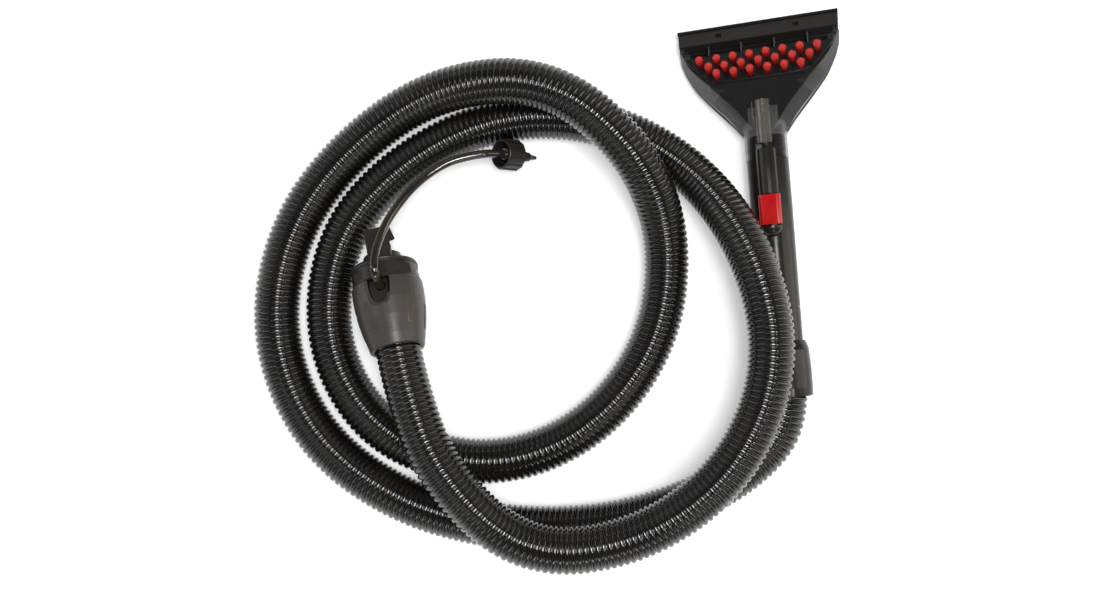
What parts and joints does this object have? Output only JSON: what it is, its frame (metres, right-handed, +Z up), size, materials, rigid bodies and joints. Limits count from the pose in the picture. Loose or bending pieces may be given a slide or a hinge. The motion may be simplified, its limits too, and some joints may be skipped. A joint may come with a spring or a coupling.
{
  "type": "extraction cleaner hose and upholstery tool",
  "caption": "Corrugated suction hose in loose loops with a bristled upholstery tool and trigger wand at one end, and a latching connector with a solution tube and cap at the other.",
  "frame": {"origin": "centre of the resting hand tool's footprint on the floor: midway along the wand and head, midway across the lip, at floor height", "axes": "+Y along the wand towards the tool head, +Z up, +X to the right seen from above with the head away from the viewer; the hose lies on the -X side"},
  "size_m": [0.5671, 0.4975, 0.0912],
  "materials": {
    "dark_plastic": "semi-gloss",
    "black_plastic": "gloss",
    "red_plastic": "gloss",
    "red_bristle": "matte",
    "satin_plastic": "satin",
    "smoke_plastic": "clear gloss",
    "hose_black": "gloss",
    "smoke_vinyl": "clear gloss",
    "clear_vinyl": "clear gloss",
    "steel": "brushed",
    "bright_metal": "polished",
    "rubber": "matte"
  },
  "bodies": {
    "wand": {"wand_tube": "dark_plastic", "hose_cuff": "dark_plastic", "hose_spigot": "black_plastic", "neck_o_ring": "rubber", "valve_housing": "dark_plastic", "valve_cradle": "black_plastic", "trigger_pin": "steel", "trigger_spring": "steel", "valve_body": "black_plastic", "valve_seal": "rubber", "valve_feed_tube": "clear_vinyl", "end_cap": "dark_plastic", "suction_hose": "hose_black", "inner_solution_line": "smoke_vinyl", "connector_barrel": "dark_plastic", "pocket_liner": "black_plastic", "connector_collar": "dark_plastic", "rim_seal": "rubber", "port_plate": "dark_plastic", "latch_tongue": "dark_plastic", "connector_spigot": "black_plastic", "connector_duct": "black_plastic", "solution_tube": "smoke_vinyl", "solution_probe": "black_plastic", "probe_o_rings": "rubber", "tube_clamp": "steel"},
    "head": {"head_shell": "smoke_plastic", "suction_funnel": "black_plastic", "lip_bar": "satin_plastic", "lip_blade": "black_plastic", "lip_clips": "satin_plastic", "brush_plate": "black_plastic", "bristle_tufts": "red_bristle", "slot_vanes": "smoke_plastic", "feed_channel_cover": "smoke_plastic", "spray_feed_tube": "clear_vinyl", "spray_nozzle": "bright_metal", "nozzle_collar": "bright_metal"},
    "trigger": {"trigger": "red_plastic"},
    "valve_stem": {"valve_stem": "black_plastic"},
    "solution_cap": {"solution_cap": "dark_plastic"}
  },
  "joints": [
    {"name": "trigger_press", "type": "hinge", "parent": "wand", "child": "trigger", "pos_m": [-0.00639, 0.00313, 0.04927], "axis": [0.9613, -0.0043, 0.2756], "range_deg": [0, 6.5], "stiffness_Nm_per_rad": 0.5, "springref_deg": -2.86},
    {"name": "valve_stem_slide", "type": "slide", "parent": "wand", "child": "valve_stem", "axis": [0.2756, 0.0151, -0.9611], "range_m": [0, 0.0016]},
    {"name": "head_pull_off", "type": "slide", "parent": "wand", "child": "head", "axis": [0, 0.9999, 0.0157], "range_m": [0, 0.04]},
    {"name": "cap_turn", "type": "hinge", "parent": "wand", "child": "solution_cap", "pos_m": [-0.23688, 0.06659, 0.02405], "axis": [0.722, 0.01, -0.6919], "range_deg": [0, 90]}
  ],
  "couplings": [
    {"joint": "valve_stem_slide", "follows": "trigger_press", "m_per_rad": 0.0135}
  ]
}
